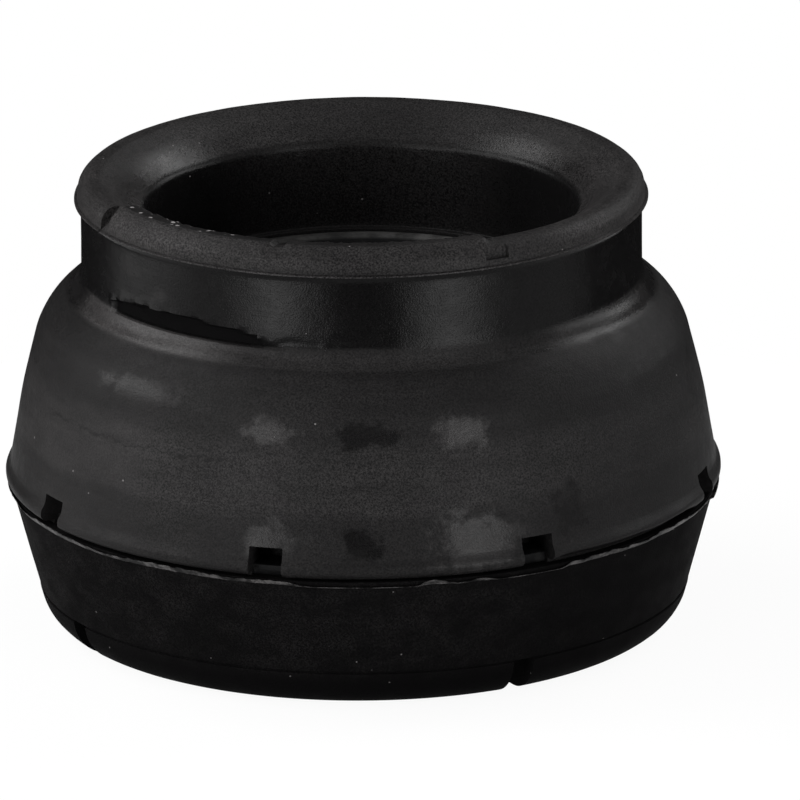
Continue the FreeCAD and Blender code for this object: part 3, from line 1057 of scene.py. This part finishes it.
# Name, azimuth from the camera and elevation, width and height as seen from the object, in degrees, brightness
SOFTBOXES = (
    ("front_left_panel", -35, -4, 18, 38, 10.0),
    ("front_right_panel", 35, -4, 20, 38, 9.0),
    ("front_left_upper", -35, 34, 18, 26, 2.0),
    ("front_right_upper", 35, 34, 18, 26, 2.0),
    ("left_panel", -98, 2, 40, 40, 2.2),
    ("left_strip", -80, 24, 56, 14, 8.0),
    ("right_strip", 108, 12, 44, 11, 6.5),
    ("left_back_strip", -108, 47, 40, 12, 11.0),
    ("right_back_strip", 126, 36, 36, 11, 11.5),
    ("overhead_strip", 180, 86, 60, 10, 1.0),
)
SOFTBOX_DISTANCE = 0.9
TABLE_RADIUS = 110 * MM

# Dark cards behind the lamps, which keep a black object dark against white. The camera looks past them
CARDS = (
    ("left_card", -140, 0, 80, 110),
    ("right_card", 140, 0, 80, 110),
    ("front_card", 0, -12, 28, 40),
)
CARD_DISTANCE = 1.3


def direction(azimuth, elevation):
    """Unit vector to an azimuth and elevation in degrees, counted from the object."""
    across, up = math.radians(azimuth), math.radians(elevation)
    return Vector((math.sin(across) * math.cos(up), -math.cos(across) * math.cos(up), math.sin(up)))


def add_softbox(name, azimuth, elevation, across, upright, brightness):
    """A rectangular lamp that faces the object, as bright as asked for wherever it is seen."""
    deselect_all()
    towards = direction(CAMERA_AZIMUTH + azimuth, elevation)
    bpy.ops.object.light_add(type="AREA", location=TARGET + towards * SOFTBOX_DISTANCE)
    lamp = bpy.context.object
    lamp.name = name
    lamp.rotation_euler = towards.to_track_quat("Z", "Y").to_euler()
    width = 2 * SOFTBOX_DISTANCE * math.tan(math.radians(across / 2))
    height = 2 * SOFTBOX_DISTANCE * math.tan(math.radians(upright / 2))
    lamp.data.shape = "RECTANGLE"
    lamp.data.size = width
    lamp.data.size_y = height
    lamp.data.energy = brightness * math.pi * width * height


def card_surface():
    """Dull black card."""
    material, tree, shader = new_surface("dark_card")
    shader.inputs["Base Color"].default_value = (0.01, 0.01, 0.01, 1)
    shader.inputs["Roughness"].default_value = 0.9
    shader.inputs["Specular IOR Level"].default_value = 0.0
    return material


def add_card(name, azimuth, elevation, across, upright, material):
    """A dark card that faces the object, unseen by the camera."""
    deselect_all()
    towards = direction(CAMERA_AZIMUTH + azimuth, elevation)
    bpy.ops.mesh.primitive_plane_add(
        size=2 * CARD_DISTANCE, location=TARGET + towards * CARD_DISTANCE,
        rotation=towards.to_track_quat("Z", "Y").to_euler(),
    )
    card = bpy.context.object
    card.name = name
    card.scale = (math.tan(math.radians(across / 2)), math.tan(math.radians(upright / 2)), 1)
    bpy.ops.object.transform_apply(location=True, rotation=True, scale=True)
    card.data.materials.append(material)
    card.visible_camera = False


def add_camera():
    """The camera at the measured place, with its roll and shift."""
    deselect_all()
    away = direction(CAMERA_AZIMUTH, CAMERA_ELEVATION)
    bpy.ops.object.camera_add(location=TARGET + away * CAMERA_DISTANCE)
    camera = bpy.context.object
    facing = away.to_track_quat("Z", "Y").to_matrix()
    roll = Matrix.Rotation(math.radians(CAMERA_ROLL), 3, "Z")
    camera.rotation_euler = (facing @ roll).to_euler()
    camera.data.sensor_width = 36.0
    camera.data.lens = FOCAL_PIXELS * camera.data.sensor_width / IMAGE_WIDTH
    camera.data.shift_x = (IMAGE_WIDTH / 2 - CENTRE_X_PIXEL) / IMAGE_WIDTH
    camera.data.shift_y = (CENTRE_Y_PIXEL - IMAGE_WIDTH / 2) / IMAGE_WIDTH
    camera.data.clip_end = 50.0
    bpy.context.scene.camera = camera


def set_world():
    """White behind the object, and a dim even light on it."""
    world = bpy.data.worlds.new("studio")
    bpy.context.scene.world = world
    world.use_nodes = True
    tree = world.node_tree
    sky = tree.nodes["Background"]
    sky.inputs["Color"].default_value = (1, 1, 1, 1)
    feed(tree, sky.inputs["Strength"], fade(tree, shown_rays(tree), 0.0, 1.0, 0.25, 1.0))


class STRUT_OT_stage(bpy.types.Operator):
    """Lay the pale round table top and set the softboxes, the world and the camera"""

    bl_idname = "strut.stage"
    bl_label = "Stage"

    def execute(self, context):
        deselect_all()
        bpy.ops.mesh.primitive_circle_add(vertices=128, radius=TABLE_RADIUS, fill_type="NGON")
        floor = bpy.context.object
        floor.name = "pale_floor"
        floor.data.materials.append(floor_surface())
        for softbox in SOFTBOXES:
            add_softbox(*softbox)
        black = card_surface()
        for card in CARDS:
            add_card(*card, black)
        set_world()
        add_camera()
        context.scene.view_settings.view_transform = "Standard"
        return {"FINISHED"}


class STRUT_PT_panel(bpy.types.Panel):
    """Lists the pieces of the strut mount and its settings"""

    bl_idname = "STRUT_PT_panel"
    bl_label = "Strut mount"
    bl_space_type = "VIEW_3D"
    bl_region_type = "UI"
    bl_category = "Strut mount"

    def draw(self, context):
        layout = self.layout
        settings = context.scene.strut_mount
        for group in (settings.moulding, settings.insert, settings.finish):
            box = layout.box()
            for name in group.bl_rna.properties.keys():
                if name not in ("rna_type", "name"):
                    box.prop(group, name)
        for operator in OPERATORS:
            layout.operator(operator.bl_idname)


OPERATORS = (
    STRUT_OT_steel_insert,
    STRUT_OT_rubber_moulding,
    STRUT_OT_seam_flash,
    STRUT_OT_stage,
)
CLASSES = (MouldingSettings, InsertSettings, FinishSettings, StrutMountSettings) + OPERATORS + (STRUT_PT_panel,)


def register():
    """Makes the classes and the scene's settings known."""
    for cls in CLASSES:
        bpy.utils.register_class(cls)
    bpy.types.Scene.strut_mount = bpy.props.PointerProperty(type=StrutMountSettings)


def unregister():
    """Takes the classes and the settings away again."""
    del bpy.types.Scene.strut_mount
    for cls in reversed(CLASSES):
        bpy.utils.unregister_class(cls)


def main():
    """Builds every piece and the stage."""
    register()
    bpy.ops.strut.steel_insert()
    bpy.ops.strut.rubber_moulding()
    bpy.ops.strut.seam_flash()
    bpy.ops.strut.stage()


if __name__ == "__main__":
    main()
